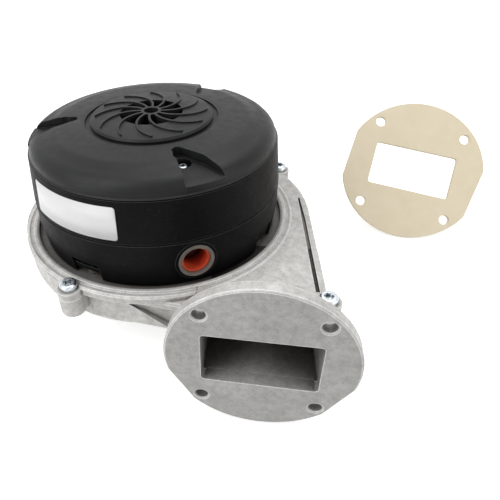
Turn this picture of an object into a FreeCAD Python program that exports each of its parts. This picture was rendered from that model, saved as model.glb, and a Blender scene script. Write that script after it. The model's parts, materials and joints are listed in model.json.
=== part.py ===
"""Radial exhaust fan: motor under a black hood, on a cast scroll with a round outlet flange.

Frame: the motor axis is Z, z = 0 is the face of the inlet ring, and the air leaves towards -Y.
All lengths are in millimetres and all angles in degrees.
"""

import FreeCAD, Part

import math
import os

Vector = FreeCAD.Vector

# Scroll in plan: three arcs that widen from the front round to the right side
scroll_front_r = 85.0
scroll_front_centre = (-3.5, 5.5)
scroll_back_centre_x = 1.5
scroll_right_centre_y = 0.8
scroll_wall = 4.5
scroll_bottom_round = 14.0
side_angle = 6.0
tongue_x = 37.0

# Heights of the castings
inlet_ring_height = 4.0
floor_thickness = 3.2
parting_z = 32.0
deck_thickness = 5.0
deck_round = 1.4
rim_crest = 1.0
tray_depth = 4.0
tray_thickness = 4.0

# Inlet side
inlet_r = 30.0
inlet_ring_r = 46.0
inlet_lip_thickness = 2.0
inlet_lip_height = 12.0
inlet_hole_pcd = 78.0
inlet_hole_r = 2.1
inlet_hole_depth = 7.0
inlet_hole_count = 4
inlet_boss_r = 5.0
inlet_boss_top = 8.4
seal_groove_r = 33.5
seal_groove_width = 2.2
seal_groove_depth = 1.4
floor_rib_count = 9
floor_rib_width = 2.6
floor_rib_depth = 2.2
floor_rib_r = 68.0

# Rim round the tray
tray_r = 77.9
rim_gap = 0.9
rim_width = 2.8
second_rim_gap = 1.5
second_rim_width = 1.8
tray_under_r = 72.0

# Outlet flange and port
flange_face_y = -107.1
flange_x = 72.7
flange_z = 22.2
flange_r = 48.0
flange_thickness = 6.5
flange_flat = 46.3
flange_flat_angles = (-150.0, -30.0)
flange_chamfer = 0.9
port_width = 58.4
port_height = 32.2
port_round = 2.0
flange_pcd = 83.0
flange_hole_r = 3.45
flange_hole_chamfer = 0.7

# Duct between the scroll and the port
duct_wall = 4.2
duct_throat_y = -36.0
duct_throat_left = 52.0
duct_roof_y = -68.0
roof_overlap = 3.0

# Front web with its triangular pocket, and the details of the deck
web_left = -24.0
web_right = 29.0
web_front_left_y = -77.8
web_front_right_y = -83.6
web_depth = 18.0
web_pocket_x = -2.0
web_pocket_slope = 0.6
web_pocket_depth = 5.0
web_lip = 3.0
groove_width = 2.2
groove_depth = 2.6
groove_inset = 3.4
groove_start_y = 24.0
groove_end_y = -68.0
pad_x = 75.6
pad_y = -65.0
pad_r = 7.6
pad_height = 0.7

# Lugs and their screws: azimuth and distance from the axis
lugs = ((-111.7, 87.1), (-35.2, 127.7), (40.0, 98.0), (103.0, 99.5), (163.0, 94.5))
lug_r = 7.0
lug_height = 12.5
lug_foot = 2.0
lug_top_drop = 0.4
lug_web = 9.0
lug_side_x = 95.0
lug_screw_r = 2.5
lug_screw_head_r = 4.85
lug_screw_head = 3.7
lug_screw_length = 14.0
lug_seat_play = 0.5
screw_play = 0.06
screw_hole_play = 0.25
tap_extra_depth = 2.0

# Cord seal between the castings
seal_inset = 1.3
seal_width = 1.5
seal_height = 1.2
seal_play = 0.15

# Black rings of the hood
hood_r = 75.0
ring_taper = 2.1
base_taper = 1.9
base_knee_z = 50.0
hood_wall = 2.6
ring_edge = 0.5
base_foot_gap = 1.0
base_height = 28.1
ring_height = 25.1
seam_gap = 0.3
spigot_height = 3.0
spigot_play = 0.15
spigot_wall = 2.0
base_floor_z = 39.5
base_floor_thickness = 2.5
base_floor_bore_r = 33.5
window_width = 19.0
window_top_z = 46.0
mount_first_angle = -110.5
mount_count = 4
mount_boss_r = 4.6
mount_screw_r = 2.0
mount_screw_head_r = 3.7
mount_screw_head = 2.7

# Side port of the base ring, with its grey ring and orange sleeve
side_port_angle = -61.6
side_port_z = 50.2
side_port_r = 10.0
side_collar_r = 11.6
side_collar_proud = 0.7
side_collar_depth = 9.0
grommet_ring_wall = 1.8
grommet_ring_depth = 7.5
grommet_wall = 1.1
grommet_depth = 15.0
grommet_set_back = 1.6
grommet_play = 0.1

# Cover with its pockets
cover_draft = 1.0
cover_lip = 1.9
shoulder_r = 8.6
cover_crown_r = 40.5
cover_crown_height = 12.0
cover_edge_height = 9.2
cover_wall = 2.6
pocket_angles = (-54.4, 67.0, -166.0)
pocket_half_angle = 9.3
pocket_inner_r = 43.0
pocket_inner_half = 5.0
pocket_floor_inner = 7.2
pocket_floor_outer = 4.2
pocket_screw_offset = -4.8
pocket_screw_r = 51.5
counterbore_r = 4.7
counterbore_depth = 3.4
counterbore_seat = 1.6
cover_screw_r = 1.5
cover_screw_head_r = 2.7
cover_screw_head = 2.2
cover_screw_length = 12.0
post_r = 4.2

# Vent in the middle of the cover
vent_disc_r = 34.7
vent_disc_height = 14.7
vent_disc_dome = 1.0
vent_disc_foot_r = 35.6
vent_moat_r = 38.6
vent_moat_depth = 1.0
vent_open_outer_r = 18.2
vent_open_inner_r = 5.9
vent_hub_hole_r = 4.2
vent_rib_count = 12
vent_rib_width = 1.25
vent_rib_proud = 0.9
vent_rib_depth = 3.4
vent_rib_tip_r = 32.5
vent_rib_sweep = 37.0
vent_rib_mid_r = 18.5
vent_rib_mid_sweep = 11.0

# Shaft, bearings and their tube
shaft_r = 4.0
shaft_bottom_z = 12.4
bearing_r = 11.0
bearing_width = 7.0
bearing_race = 2.0
bearing_fit = 0.02
lower_bearing_z = 30.6
upper_bearing_z = 64.0
tube_r = 12.5
tube_shoulder = 1.6
tube_inner_r = 9.3
tube_top_z = 71.4
tube_fit = 0.05
tube_flange_r = 21.0
tube_flange_thickness = 3.0
tube_screw_count = 3
tube_screw_angle = 30.0
tube_screw_circle_r = 17.2
tube_screw_r = 1.5
tube_screw_head_r = 2.75
tube_screw_head = 1.6
tube_screw_length = 6.0
washer_thickness = 0.8
shaft_seal_r = 18.0
shaft_seal_thickness = 1.2
shaft_seal_play = 0.4

# Stator
stator_r = 26.0
stator_z = 50.0
stator_height = 18.0
stator_yoke = 3.6
tooth_count = 12
tooth_width = 3.2
tooth_tip = 1.4
tooth_tip_width = 10.4
insulator_wall = 0.5
insulator_play = 0.05
coil_wall = 1.5

# Rotor
rotor_gap = 0.7
magnet_thickness = 2.4
magnet_count = 8
magnet_space = 3.0
magnet_z = 48.0
magnet_height = 25.0
cup_wall = 2.0
cup_bottom_z = 46.0
cup_top_z = 78.0
cup_hub_r = 8.5

# Cooling wheel under the vent
wheel_r = 29.0
wheel_plate = 1.6
wheel_height = 9.5
wheel_blade_count = 11
wheel_blade_width = 1.2
wheel_hub_r = 8.0
wheel_hub_height = 6.0

# Impeller
impeller_play = 6.2
plate_thickness = 1.2
back_plate_z = 25.6
shroud_z = 10.0
shroud_eye_r = 33.6
shroud_eye_drop = 1.0
blade_count = 12
blade_width = 1.1
blade_inner_r = 35.0
blade_tip_inset = 1.2
blade_sweep = 42.0
hub_r = 9.0
hub_bottom_z = 19.0
hub_flange_r = 15.0
hub_flange_thickness = 1.6
hub_neck_r = 6.0
nut_across_flats = 13.0
nut_height = 4.6
washer_r = 8.0

# Circuit board and what stands on it
board_r = 60.0
board_bore_r = 35.0
board_thickness = 1.6
board_standoff = 5.0
board_screw_circle_r = 53.5
board_screw_angles = (-20.0, 50.0, 115.0, 225.0)
board_screw_r = 1.45
board_screw_head_r = 2.7
board_screw_head = 1.9
board_screw_length = 5.4
board_post_play = 1.2
standoff_r = 3.4
part_circle_r = 46.5
capacitor_angles = (5.0, 95.0, 140.0)
capacitor_r = 7.0
capacitor_height = 24.0
module_angle = 30.0
module_length = 20.0
module_depth = 9.0
module_height = 5.0
heat_sink_height = 14.0
heat_sink_base = 2.5
heat_sink_fins = 5
heat_sink_fin = 1.3
connector_angle = -88.0
connector_length = 17.0
connector_depth = 8.0
connector_height = 9.5
connector_wall = 1.2

# Outlet gasket, which stands apart and leans back on its edge
gasket_thickness = 3.0
gasket_window_inset = 1.2
gasket_flat = 44.8
gasket_flat_angles = (-9.0, 176.0)
gasket_place = (168.7, 71.0, 36.5)
gasket_lean = 50.8
gasket_turn = 3.3
gasket_roll = -12.1

# What follows from the sizes above
scroll_left_x = scroll_front_centre[0] - scroll_front_r
scroll_back_r = scroll_back_centre_x - scroll_left_x
scroll_back_y = scroll_front_centre[1] + scroll_back_r
scroll_right_r = scroll_back_y - scroll_right_centre_y
floor_z = inlet_ring_height
chamber_z = floor_z + floor_thickness
deck_z = parting_z + deck_thickness
rim_z = deck_z + rim_crest
tray_z = rim_z - tray_depth
tray_under_z = tray_z - tray_thickness
flange_back_y = flange_face_y + flange_thickness
flange_left_x = flange_x - port_width / 2 - duct_wall
flange_right_x = flange_x + port_width / 2 + duct_wall
base_foot_z = tray_z + base_foot_gap
base_top_z = base_foot_z + base_height
rim_r = tray_r + rim_gap + rim_width / 2
second_rim_r = rim_r + rim_width / 2 + second_rim_gap + second_rim_width / 2
hood_top_r = hood_r - ring_taper
base_foot_r = hood_r - base_taper
mount_r = base_foot_r - hood_wall - mount_screw_head_r - 0.3
ring_z = base_top_z + seam_gap
ring_top_z = ring_z + ring_height
cover_z = ring_top_z + seam_gap
base_floor_top_z = base_floor_z + base_floor_thickness
rotor_inner_r = stator_r + rotor_gap
magnet_outer_r = rotor_inner_r + magnet_thickness
cup_outer_r = magnet_outer_r + cup_wall
wheel_z = cup_top_z
impeller_r = scroll_front_r - scroll_wall - math.hypot(*scroll_front_centre) - impeller_play
blade_outer_r = impeller_r - blade_tip_inset
shaft_top_z = wheel_z + wheel_hub_height
board_z = base_floor_top_z + board_standoff
board_top_z = board_z + board_thickness


def polar(radius, angle, z=0.0):
    """A point at a distance and an azimuth from the motor axis."""
    turn = math.radians(angle)
    return Vector(radius * math.cos(turn), radius * math.sin(turn), z)


def cylinder(radius, z_low, z_high, x=0.0, y=0.0):
    """An upright cylinder between two heights."""
    return Part.makeCylinder(radius, z_high - z_low, Vector(x, y, z_low))


def ring(outer, inner, z_low, z_high, x=0.0, y=0.0):
    """An upright tube between two heights."""
    return cylinder(outer, z_low, z_high, x, y).cut(cylinder(inner, z_low - 1, z_high + 1, x, y))


def block(x_low, x_high, y_low, y_high, z_low, z_high):
    """A box between three pairs of limits."""
    return Part.makeBox(x_high - x_low, y_high - y_low, z_high - z_low, Vector(x_low, y_low, z_low))


def revolve(points):
    """A solid turned about the motor axis from an outline of (radius, z) points."""
    wire = Part.makePolygon([Vector(r, 0, z) for r, z in points + points[:1]])
    return Part.Face(wire).revolve(Vector(0, 0, 0), Vector(0, 0, 1), 360)


def prism(points, z_low, z_high):
    """An upright prism over a plan outline of (x, y) points."""
    wire = Part.makePolygon([Vector(x, y, z_low) for x, y in points + points[:1]])
    return Part.Face(wire).extrude(Vector(0, 0, z_high - z_low))


def turned(shape, angle):
    """A copy of the shape turned about the motor axis."""
    copy = shape.copy()
    copy.rotate(Vector(0, 0, 0), Vector(0, 0, 1), angle)
    return copy


def pattern(shape, count, first=0.0):
    """Copies of the shape spaced evenly round the motor axis."""
    return [turned(shape, first + 360.0 * i / count) for i in range(count)]


def join(shape, others):
    """The shape fused with a list of others, one after another."""
    for other in others:
        shape = shape.fuse(other)
    return shape.removeSplitter()


def save(name, shape):
    """Writes one node, after a check that it is sound."""
    if not shape.isValid():
        print("not valid:", name)
    shape.exportStep("parts/" + name + ".step")
    print(name, "solids", len(shape.Solids), "volume", round(shape.Volume))


def arc(centre, radius, start, end):
    """An edge round a centre, between two azimuths."""
    points = []
    for angle in (start, (start + end) / 2.0, end):
        turn = math.radians(angle)
        points.append(Vector(centre[0] + radius * math.cos(turn), centre[1] + radius * math.sin(turn), 0))
    return Part.Arc(*points).toShape()


def side_x(y, inset):
    """X of the right side at a place along Y: round at the back, then straight and spreading."""
    turn = math.radians(side_angle)
    radius = scroll_right_r - inset
    start_y = scroll_right_centre_y + radius * math.sin(turn)
    if y > start_y:
        return scroll_back_centre_x + math.sqrt(radius**2 - (y - scroll_right_centre_y) ** 2)
    return scroll_back_centre_x + radius * math.cos(turn) + (start_y - y) * math.tan(turn)


def scroll_outline(inset):
    """Closed plan outline of the scroll, moved in from the outer wall by an inset."""
    front = scroll_front_r - inset
    back = scroll_back_r - inset
    right = scroll_right_r - inset
    front_x, front_y = scroll_front_centre
    tongue = -math.degrees(math.acos((tongue_x - front_x) / front))
    back_centre = (scroll_back_centre_x, front_y)
    right_centre = (scroll_back_centre_x, scroll_right_centre_y)
    edges = [
        arc(scroll_front_centre, front, tongue, -180.0),
        arc(back_centre, back, 180.0, 90.0),
        arc(right_centre, right, 90.0, side_angle),
    ]
    start = Vector(tongue_x, front_y - math.sqrt(front**2 - (tongue_x - front_x) ** 2), 0)
    side_top = polar(right, side_angle) + Vector(*right_centre, 0)
    side_foot = Vector(side_x(duct_throat_y, inset), duct_throat_y, 0)
    edges.append(Part.LineSegment(side_top, side_foot).toShape())
    edges.append(Part.LineSegment(side_foot, start).toShape())
    return Part.Wire(Part.__sortEdges__(edges))


def scroll_prism(inset, z_low, z_high):
    """The scroll outline raised between two heights."""
    wire = scroll_outline(inset)
    wire.translate(Vector(0, 0, z_low))
    return Part.Face(wire).extrude(Vector(0, 0, z_high - z_low))


def rounded_scroll(inset, z_low, z_high, radius):
    """The scroll prism with its curved bottom edges rounded."""
    solid = scroll_prism(inset, z_low, z_high)
    edges = []
    for edge in solid.Edges:
        ends = [v.Point for v in edge.Vertexes]
        level = all(abs(p.z - z_low) < 1e-6 for p in ends)
        across = edge.Curve.TypeId == "Part::GeomLine" and abs(ends[0].x - ends[-1].x) > tongue_x / 2
        if level and not across:
            edges.append(edge)
    return solid.makeFillet(radius, edges)


def upright_rectangle(y, x_low, x_high, z_low, z_high):
    """A rectangle in a plane that faces along Y."""
    corners = ((x_low, z_low), (x_high, z_low), (x_high, z_high), (x_low, z_high), (x_low, z_low))
    return Part.makePolygon([Vector(x, y, z) for x, z in corners])


def duct_passage():
    """The air passage from the scroll to the port, which narrows inwards."""
    throat = upright_rectangle(
        duct_throat_y, duct_throat_left, side_x(duct_throat_y, scroll_wall), chamber_z, parting_z - 1.0
    )
    middle = upright_rectangle(
        duct_roof_y, tongue_x + duct_wall + 1.0, side_x(duct_roof_y, scroll_wall), chamber_z, parting_z
    )
    half = port_width / 2
    face = upright_rectangle(
        flange_back_y, flange_x - half, flange_x + half, flange_z - port_height / 2,
        flange_z + port_height / 2,
    )
    inner = Part.makeLoft([throat, middle], True, True)
    outer = Part.makeLoft([middle, face], True, True)
    return inner.fuse(outer)


def duct_body(overlap):
    """The outside of the duct, from an overlap with the scroll to the back of the flange."""
    throat_y = duct_throat_y + overlap
    back = upright_rectangle(
        flange_back_y - 1.0, flange_left_x, flange_right_x, flange_z - port_height / 2 - duct_wall,
        flange_z + port_height / 2 + duct_wall,
    )
    middle = upright_rectangle(duct_roof_y, tongue_x, side_x(duct_roof_y, 0), floor_z, deck_z)
    throat = upright_rectangle(throat_y, duct_throat_left, side_x(throat_y, 0), floor_z, deck_z)
    return Part.makeLoft([throat, middle], True, True).fuse(Part.makeLoft([middle, back], True, True))


def flange_plan(radius, flat, flat_angles):
    """Face of the flange in its own plane: a round with two flats."""
    disc = Part.Face(Part.Wire(Part.makeCircle(radius)))
    for angle in flat_angles:
        cutter = Part.makePlane(4 * radius, radius, Vector(-2 * radius, flat, 0))
        cutter.rotate(Vector(0, 0, 0), Vector(0, 0, 1), angle - 90.0)
        disc = disc.cut(cutter)
    return disc


def rounded_window(width, height, radius):
    """Face of a rectangle with rounded corners."""
    face = Part.makePlane(width, height, Vector(-width / 2, -height / 2, 0))
    solid = face.extrude(Vector(0, 0, 1))
    upright = [e for e in solid.Edges if abs(e.Vertexes[0].Z - e.Vertexes[1].Z) > 0.5]
    solid = solid.makeFillet(radius, upright)
    return [f for f in solid.Faces if abs(f.CenterOfMass.z) < 1e-6][0]


def flange_disc(thickness, chamfer, flat, flat_angles):
    """The flange as a plate with its holes, its front face at z = 0 and its back at -thickness."""
    plate = flange_plan(flange_r, flat, flat_angles).extrude(Vector(0, 0, -thickness))
    if chamfer > 0:
        plate = plate.makeChamfer(chamfer, [e for e in plate.Edges if abs(e.CenterOfMass.z) < 1e-6])
    for i in range(4):
        hole = polar(flange_pcd / 2, 45 + 90 * i)
        plate = plate.cut(cylinder(flange_hole_r, -thickness - 1, 1, hole.x, hole.y))
        if chamfer > 0:
            cone = Part.makeCone(
                flange_hole_r, flange_hole_r + 2 * flange_hole_chamfer, 2 * flange_hole_chamfer,
                Vector(hole.x, hole.y, -flange_hole_chamfer),
            )
            plate = plate.cut(cone)
    return plate


def stand_flange(shape):
    """Moves a shape from the flange's own plane to the outlet, facing -Y."""
    shape.rotate(Vector(0, 0, 0), Vector(1, 0, 0), 90)
    shape.translate(Vector(flange_x, flange_face_y, flange_z))
    return shape


def port_opening():
    """The rounded port through the flange."""
    window = rounded_window(port_width, port_height, port_round)
    prism_through = window.extrude(Vector(0, 0, flange_thickness + 3))
    prism_through.translate(Vector(0, 0, -flange_thickness - 1))
    return stand_flange(prism_through)


def web_plan():
    """Plan outline of the front web between the scroll and the duct."""
    return [
        (web_left, web_front_left_y + 10),
        (web_left, web_front_left_y),
        (web_right, web_front_right_y),
        (tongue_x, web_front_right_y - 6),
        (tongue_x + 3, flange_back_y + 4),
        (tongue_x + 3, web_front_left_y + 10),
    ]


def front_web():
    """The web that carries the scroll's front wall on to the duct, with its triangular pocket."""
    low = parting_z - web_depth
    web = prism(web_plan(), low, parting_z)
    slope = (web_front_right_y - web_front_left_y) / (web_right - web_left)
    top = parting_z - web_lip
    far_x = tongue_x - 1
    corners = [(web_pocket_x, top), (far_x, top), (far_x, top - web_pocket_slope * (far_x - web_pocket_x))]
    wire = Part.makePolygon([Vector(x, web_front_right_y - 8, z) for x, z in corners + corners[:1]])
    pocket = Part.Face(wire).extrude(Vector(0, 8 + web_pocket_depth, 0))
    pocket.translate(Vector(0, slope * 0.5, 0))
    return web.cut(pocket)


def lug_column(angle, radius, z_low, z_high):
    """One lug with the web that ties it to the wall."""
    centre = polar(radius, angle)
    column = cylinder(lug_r, z_low, z_high, centre.x, centre.y)
    foot = [e for e in column.Edges if e.Closed and abs(e.CenterOfMass.z - z_low) < 1e-6]
    if z_low < parting_z:
        column = column.makeFillet(lug_foot, foot)
    web = block(-lug_r + 0.6, lug_r - 0.6, -lug_web, 0, z_low + lug_foot, z_high)
    toward = angle if abs(centre.x) < lug_side_x else 0.0
    web.rotate(Vector(0, 0, 0), Vector(0, 0, 1), toward - 90)
    web.translate(Vector(centre.x, centre.y, 0))
    return column.fuse(web)


def screw(shank_r, length, head_r, head_height, recess=True):
    """A pan-head screw at the origin: head above z = 0, shank below, with a six-point recess."""
    head = cylinder(head_r, 0, head_height)
    top = [e for e in head.Edges if abs(e.CenterOfMass.z - head_height) < 1e-6 and e.Closed]
    head = head.makeFillet(head_height * 0.42, top)
    body = head.fuse(cylinder(shank_r, -length, 0)).removeSplitter()
    if recess:
        half = head_r * 0.17
        reach = head_r * 0.5
        star = block(-reach, reach, -half, half, head_height * 0.45, head_height + 1)
        body = body.cut(star.fuse([turned(star, 60), turned(star, 120)]))
    return body


def screws_at(places, shank_r, length, head_r, head_height):
    """The same screw at a list of points, as one group."""
    model = screw(shank_r, length, head_r, head_height)
    copies = []
    for place in places:
        copy = model.copy()
        copy.translate(place)
        copies.append(copy)
    return Part.makeCompound(copies)


def lug_places(z):
    """Centres of the lugs at a height."""
    return [polar(radius, angle, z) for angle, radius in lugs]


def seal_strip(extra):
    """The cord seal along the joint of the castings, or its groove when widened by the extra."""
    outer = scroll_prism(seal_inset - extra, parting_z - seal_height - extra, parting_z)
    inner = scroll_prism(seal_inset + seal_width + extra, parting_z - seal_height - 1, parting_z + 1)
    strip = outer.cut(inner)
    mouth = block(
        tongue_x - 4, flange_right_x, flange_face_y, duct_throat_y + 12, 0, parting_z + 5
    )
    return strip.cut(mouth)


def inlet_holes():
    """Tapped holes of the inlet ring."""
    cutters = []
    for i in range(inlet_hole_count):
        place = polar(inlet_hole_pcd / 2, 45 + 360.0 * i / inlet_hole_count)
        cutters.append(cylinder(inlet_hole_r, -1, inlet_hole_depth, place.x, place.y))
    return cutters


def inlet_bosses():
    """Bosses inside the scroll that hold the tapped holes of the inlet ring."""
    bosses = []
    for i in range(inlet_hole_count):
        place = polar(inlet_hole_pcd / 2, 45 + 360.0 * i / inlet_hole_count)
        bosses.append(cylinder(inlet_boss_r, floor_z, inlet_boss_top, place.x, place.y))
    return bosses


def floor_ribs():
    """Low ribs under the floor, from the inlet ring outwards."""
    rib = block(
        inlet_ring_r - 1, floor_rib_r, -floor_rib_width / 2, floor_rib_width / 2,
        floor_z - floor_rib_depth, floor_z + 1,
    )
    return pattern(rib, floor_rib_count, 20.0)


def lower_casting():
    """Scroll, duct, outlet flange and inlet ring in one die casting."""
    body = rounded_scroll(0, floor_z, parting_z, scroll_bottom_round)
    below = block(scroll_left_x, flange_right_x + 1, flange_back_y - 0.5, scroll_back_y, -1, parting_z)
    duct = duct_body(0.0).common(below)
    plate = flange_disc(flange_thickness, flange_chamfer, flange_flat, flange_flat_angles)
    flange = stand_flange(plate)
    inlet = cylinder(inlet_ring_r, 0, floor_z + 1)
    columns = [lug_column(a, r, parting_z - lug_height, parting_z) for a, r in lugs]
    body = join(body, [duct, front_web(), flange, inlet] + columns + floor_ribs())
    cavity = rounded_scroll(scroll_wall, chamber_z, parting_z + 2, scroll_bottom_round - scroll_wall)
    for hollow in (cavity, duct_passage(), port_opening()):
        body = body.cut(hollow)
    body = body.fuse(ring(inlet_r + inlet_lip_thickness, inlet_r, chamber_z - 1, inlet_lip_height))
    body = body.cut(cylinder(inlet_r, -1, inlet_lip_height + 1))
    body = join(body, inlet_bosses())
    body = body.cut(inlet_holes())
    body = body.cut(ring(seal_groove_r + seal_groove_width, seal_groove_r, -1, seal_groove_depth))
    body = body.cut(seal_strip(seal_play))
    tap = [
        cylinder(lug_screw_r + screw_play, parting_z - lug_screw_length + deck_thickness - tap_extra_depth,
                 parting_z + 1, p.x, p.y)
        for p in lug_places(0)
    ]
    return body.cut(tap).removeSplitter()


def rim_profile():
    """Rim ridges round the tray, as a solid of revolution above the deck."""
    half = rim_width / 2
    second = second_rim_width / 2
    return revolve([
        (tray_r, tray_z - 1),
        (tray_r + 0.4, rim_z - 0.6),
        (rim_r - half * 0.5, rim_z),
        (rim_r + half * 0.5, rim_z),
        (rim_r + half, rim_z - 1.1),
        (second_rim_r - second, deck_z - 0.4),
        (second_rim_r - second * 0.5, deck_z + 0.5),
        (second_rim_r + second * 0.5, deck_z + 0.5),
        (second_rim_r + second + 0.6, deck_z - 0.5),
        (second_rim_r + second + 0.6, tray_z - 1),
    ])


def edge_groove():
    """The long groove beside the right edge of the deck."""
    points = []
    for y, wide in ((groove_start_y, 0.5), (0.0, 1.0), (groove_end_y, 1.0)):
        points.append((side_x(y, groove_inset), y, wide * groove_width))
    left = [(x - wide, y) for x, y, wide in points]
    right = [(x, y) for x, y, wide in reversed(points)]
    return prism(left + right, deck_z - groove_depth, deck_z + 3)


def upper_casting():
    """Motor plate: tray, rim ridges, deck, duct roof, pad, groove and screw bosses."""
    body = scroll_prism(0, parting_z, deck_z)
    upper = [e for e in body.Edges if all(abs(v.Z - deck_z) < 1e-6 for v in e.Vertexes)]
    body = body.makeFillet(deck_round, [e for e in upper if e.Curve.TypeId == "Part::GeomCircle"])
    far_x = flange_right_x + 1
    above = block(scroll_left_x, far_x, flange_back_y + seam_gap, scroll_back_y, parting_z, rim_z + flange_r)
    roof = duct_body(roof_overlap).common(above)
    web_cover = prism(web_plan(), parting_z, parting_z + 2.2).common(above)
    columns = [lug_column(a, r, parting_z, deck_z - lug_top_drop) for a, r in lugs]
    pad = cylinder(pad_r, deck_z - 1, deck_z + pad_height, pad_x, pad_y)
    body = join(body, [roof, web_cover, pad] + columns + [rim_profile()])
    body = body.cut(cylinder(tray_r, tray_z, rim_z + 5))
    body = body.fuse(cylinder(tray_under_r, tray_under_z, parting_z + 0.5))
    body = body.fuse(cylinder(tray_r, parting_z, tray_z))
    body = body.cut(duct_passage()).cut(edge_groove())
    boss = cylinder(mount_boss_r, tray_z - 1, base_floor_z, mount_r, 0)
    body = join(body, pattern(boss, mount_count, mount_first_angle))
    tap = cylinder(mount_screw_r + screw_play, tray_z - 0.5, base_floor_z + 1, mount_r, 0)
    body = body.cut(pattern(tap, mount_count, mount_first_angle))
    body = body.cut(cylinder(tube_r + tube_fit, tray_under_z - 1, tray_z + 1))
    drill = cylinder(tube_screw_r + screw_play, tray_under_z - 1, tray_z + 1, tube_screw_circle_r, 0)
    body = body.cut(pattern(drill, tube_screw_count, tube_screw_angle))
    seat_z = deck_z - lug_top_drop
    for place in lug_places(0):
        hole = cylinder(lug_screw_r + screw_hole_play, parting_z - 1, deck_z + 1, place.x, place.y)
        seat = cylinder(lug_screw_head_r + lug_seat_play, seat_z, rim_z + 1, place.x, place.y)
        body = body.cut([hole, seat])
    return body.removeSplitter()


def radial_cylinder(radius, angle, z, start, end):
    """A cylinder along a radius of the fan."""
    shape = Part.makeCylinder(radius, end - start, Vector(start, 0, z), Vector(1, 0, 0))
    return turned(shape, angle)


def post_angles():
    """Azimuths of the screws of the cover."""
    return [angle + pocket_screw_offset for angle in pocket_angles]


def counterbore_z():
    """Height of the seat of a cover screw."""
    share = (pocket_screw_r - pocket_inner_r) / (hood_top_r - pocket_inner_r)
    floor = pocket_floor_inner + (pocket_floor_outer - pocket_floor_inner) * share
    return cover_z + floor - counterbore_depth


def motor_base():
    """Lower black ring with its floor, windows, side port collar, standoffs and cover posts."""
    body = revolve([
        (base_foot_r - hood_wall, base_foot_z), (base_foot_r, base_foot_z), (hood_r, base_knee_z),
        (hood_r, base_top_z - ring_edge), (hood_r - ring_edge, base_top_z), (hood_r - hood_wall, base_top_z),
        (hood_r - hood_wall, base_knee_z),
    ])
    window = block(
        mount_r, hood_r + 2, -window_width / 2, window_width / 2, base_foot_z - 1, window_top_z
    )
    body = body.cut(pattern(window, mount_count, mount_first_angle))
    slope = (hood_r - base_foot_r) / (base_knee_z - base_foot_z)
    floor_r = base_foot_r + slope * (base_floor_z - base_foot_z) - 0.8
    floor = ring(floor_r, base_floor_bore_r, base_floor_z, base_floor_top_z)
    collar_start = hood_r - side_collar_depth
    collar_end = hood_r - 0.6 + side_collar_proud
    collar = radial_cylinder(side_collar_r, side_port_angle, side_port_z, collar_start, collar_end)
    spigot_space = cylinder(hood_r - hood_wall, ring_z - spigot_height - seam_gap, ring_top_z)
    collar = collar.cut(spigot_space)
    standoffs = []
    for angle in board_screw_angles:
        place = polar(board_screw_circle_r, angle)
        standoffs.append(cylinder(standoff_r, base_floor_top_z - 0.5, board_z, place.x, place.y))
    post_top = counterbore_z() - counterbore_seat
    for angle in post_angles():
        place = polar(pocket_screw_r, angle)
        standoffs.append(cylinder(post_r, base_floor_top_z - 0.5, post_top, place.x, place.y))
    body = join(body, [floor, collar] + standoffs)
    body = body.cut(radial_cylinder(side_port_r, side_port_angle, side_port_z, board_r - 1, hood_r + 5))
    hole = cylinder(mount_screw_r + screw_hole_play, base_floor_z - 1, base_floor_top_z + 1, mount_r, 0)
    body = body.cut(pattern(hole, mount_count, mount_first_angle))
    for angle in board_screw_angles:
        place = polar(board_screw_circle_r, angle)
        depth = board_z - board_screw_length + board_thickness - 0.4
        body = body.cut(cylinder(board_screw_r + screw_play, depth, board_z + 1, place.x, place.y))
    for angle in post_angles():
        place = polar(pocket_screw_r, angle)
        depth = counterbore_z() - cover_screw_length - tap_extra_depth
        body = body.cut(cylinder(cover_screw_r + screw_play, depth, post_top + 1, place.x, place.y))
    return body.removeSplitter()


def hood_ring():
    """Middle black ring, with a spigot that enters the lower ring."""
    body = revolve([
        (hood_r - hood_wall, ring_z), (hood_r - ring_edge, ring_z), (hood_r, ring_z + ring_edge),
        (hood_top_r, ring_top_z - ring_edge), (hood_top_r - ring_edge, ring_top_z),
        (hood_top_r - hood_wall, ring_top_z),
    ])
    spigot_r = hood_r - hood_wall - spigot_play - 0.5
    spigot = ring(spigot_r, spigot_r - spigot_wall, ring_z - spigot_height, ring_z + 1)
    ledge = ring(hood_r - hood_wall + 0.4, spigot_r - spigot_wall, ring_z, ring_z + 2)
    return join(body, [spigot, ledge])


def cover_dome(offset):
    """Outside of the cover as a turned solid, moved inwards by an offset."""
    z = cover_z
    outer = hood_top_r - offset
    top = outer - cover_draft
    crown_r = cover_crown_r
    edge_z = z + cover_edge_height - offset
    crown_z = z + cover_crown_height - offset
    radius = shoulder_r - min(offset, shoulder_r - 1)
    lip_z = edge_z - radius
    steps = 7
    points = [(0.0, z - 1.0 - offset), (outer, z - 1.0 - offset), (outer, z), (top, lip_z)]
    for i in range(1, steps + 1):
        turn = math.radians(90.0 * i / steps)
        points.append((top - radius + radius * math.cos(turn), lip_z + radius * math.sin(turn)))
    points += [((top + crown_r) / 2, (edge_z + crown_z) / 2 + 0.6), (crown_r, crown_z), (0.0, crown_z + 0.2)]
    return revolve(points).cut(cylinder(hood_r + 5, z - 20, z if offset == 0 else z - 0.01))


def cover_disc(offset):
    """The raised disc of the vent, moved inwards by an offset."""
    top = cover_z + vent_disc_height - offset
    foot = cover_z + cover_crown_height - 3.0
    return revolve([
        (0.0, foot), (vent_disc_foot_r - offset, foot),
        (vent_disc_foot_r - offset, top - vent_disc_dome - 1.2),
        (vent_disc_r - offset, top - vent_disc_dome), (vent_open_outer_r, top), (0.0, top),
    ])


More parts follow.
